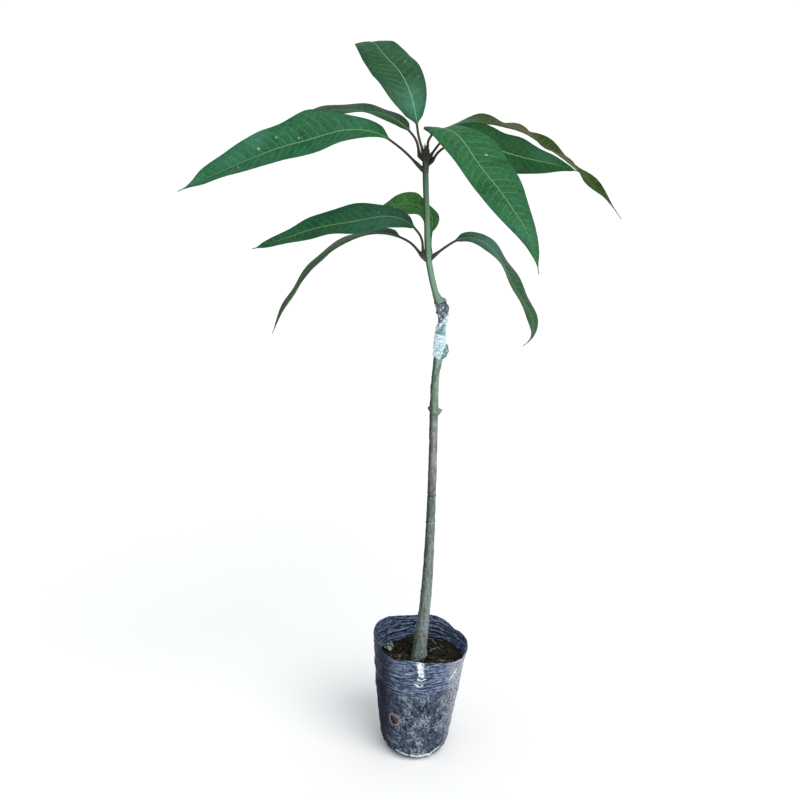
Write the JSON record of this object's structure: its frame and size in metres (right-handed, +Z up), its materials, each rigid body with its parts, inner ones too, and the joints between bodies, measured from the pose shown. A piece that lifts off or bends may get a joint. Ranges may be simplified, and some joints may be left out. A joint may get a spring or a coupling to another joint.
{
  "type": "grafted mango tree sapling in nursery grow bag",
  "caption": "Young grafted mango sapling: a slim bowed stem with a taped graft union, whorls of long drooping leaves, and a soft black film grow bag filled with soil.",
  "frame": {"origin": "centre of the grow bag's flat underside, on the surface that the plant stands on", "axes": "+Z up along the plant's height; +X to the side that the stem bows towards and the bag's rim leans to; -Y to the front"},
  "size_m": [0.4862, 0.2886, 0.8296],
  "materials": {
    "bag_film": "thin black polythene film, creased, dusty and half glossy",
    "potting_soil": "dark crumbly moist soil with dry rootlets",
    "rootstock_bark": "grey-green young bark with pale specks, matt",
    "scion_bark": "rough grey-brown bark with a scarred knob",
    "grafting_tape": "wrinkled milky film tape",
    "green_shoot": "smooth green bark, half matt",
    "bud_scales": "dark brown dry scales",
    "leaf_green": "dark green leathery leaf with a pale midrib and a cool sheen"
  },
  "bodies": {
    "root": {"grow_bag": "bag_film", "soil": "potting_soil", "rootstock_stem": "rootstock_bark", "scion_wood": "scion_bark", "graft_wrap": "grafting_tape", "scion_shoot": "green_shoot", "terminal_bud": "bud_scales", "leaf_upper_1": "leaf_green", "leaf_upper_2": "leaf_green", "leaf_upper_3": "leaf_green", "leaf_upper_4": "leaf_green", "leaf_upper_5": "leaf_green", "leaf_upper_6": "leaf_green", "leaf_lower_1": "leaf_green", "leaf_lower_2": "leaf_green", "leaf_lower_3": "leaf_green", "leaf_lower_4": "leaf_green"}
  },
  "joints": []
}
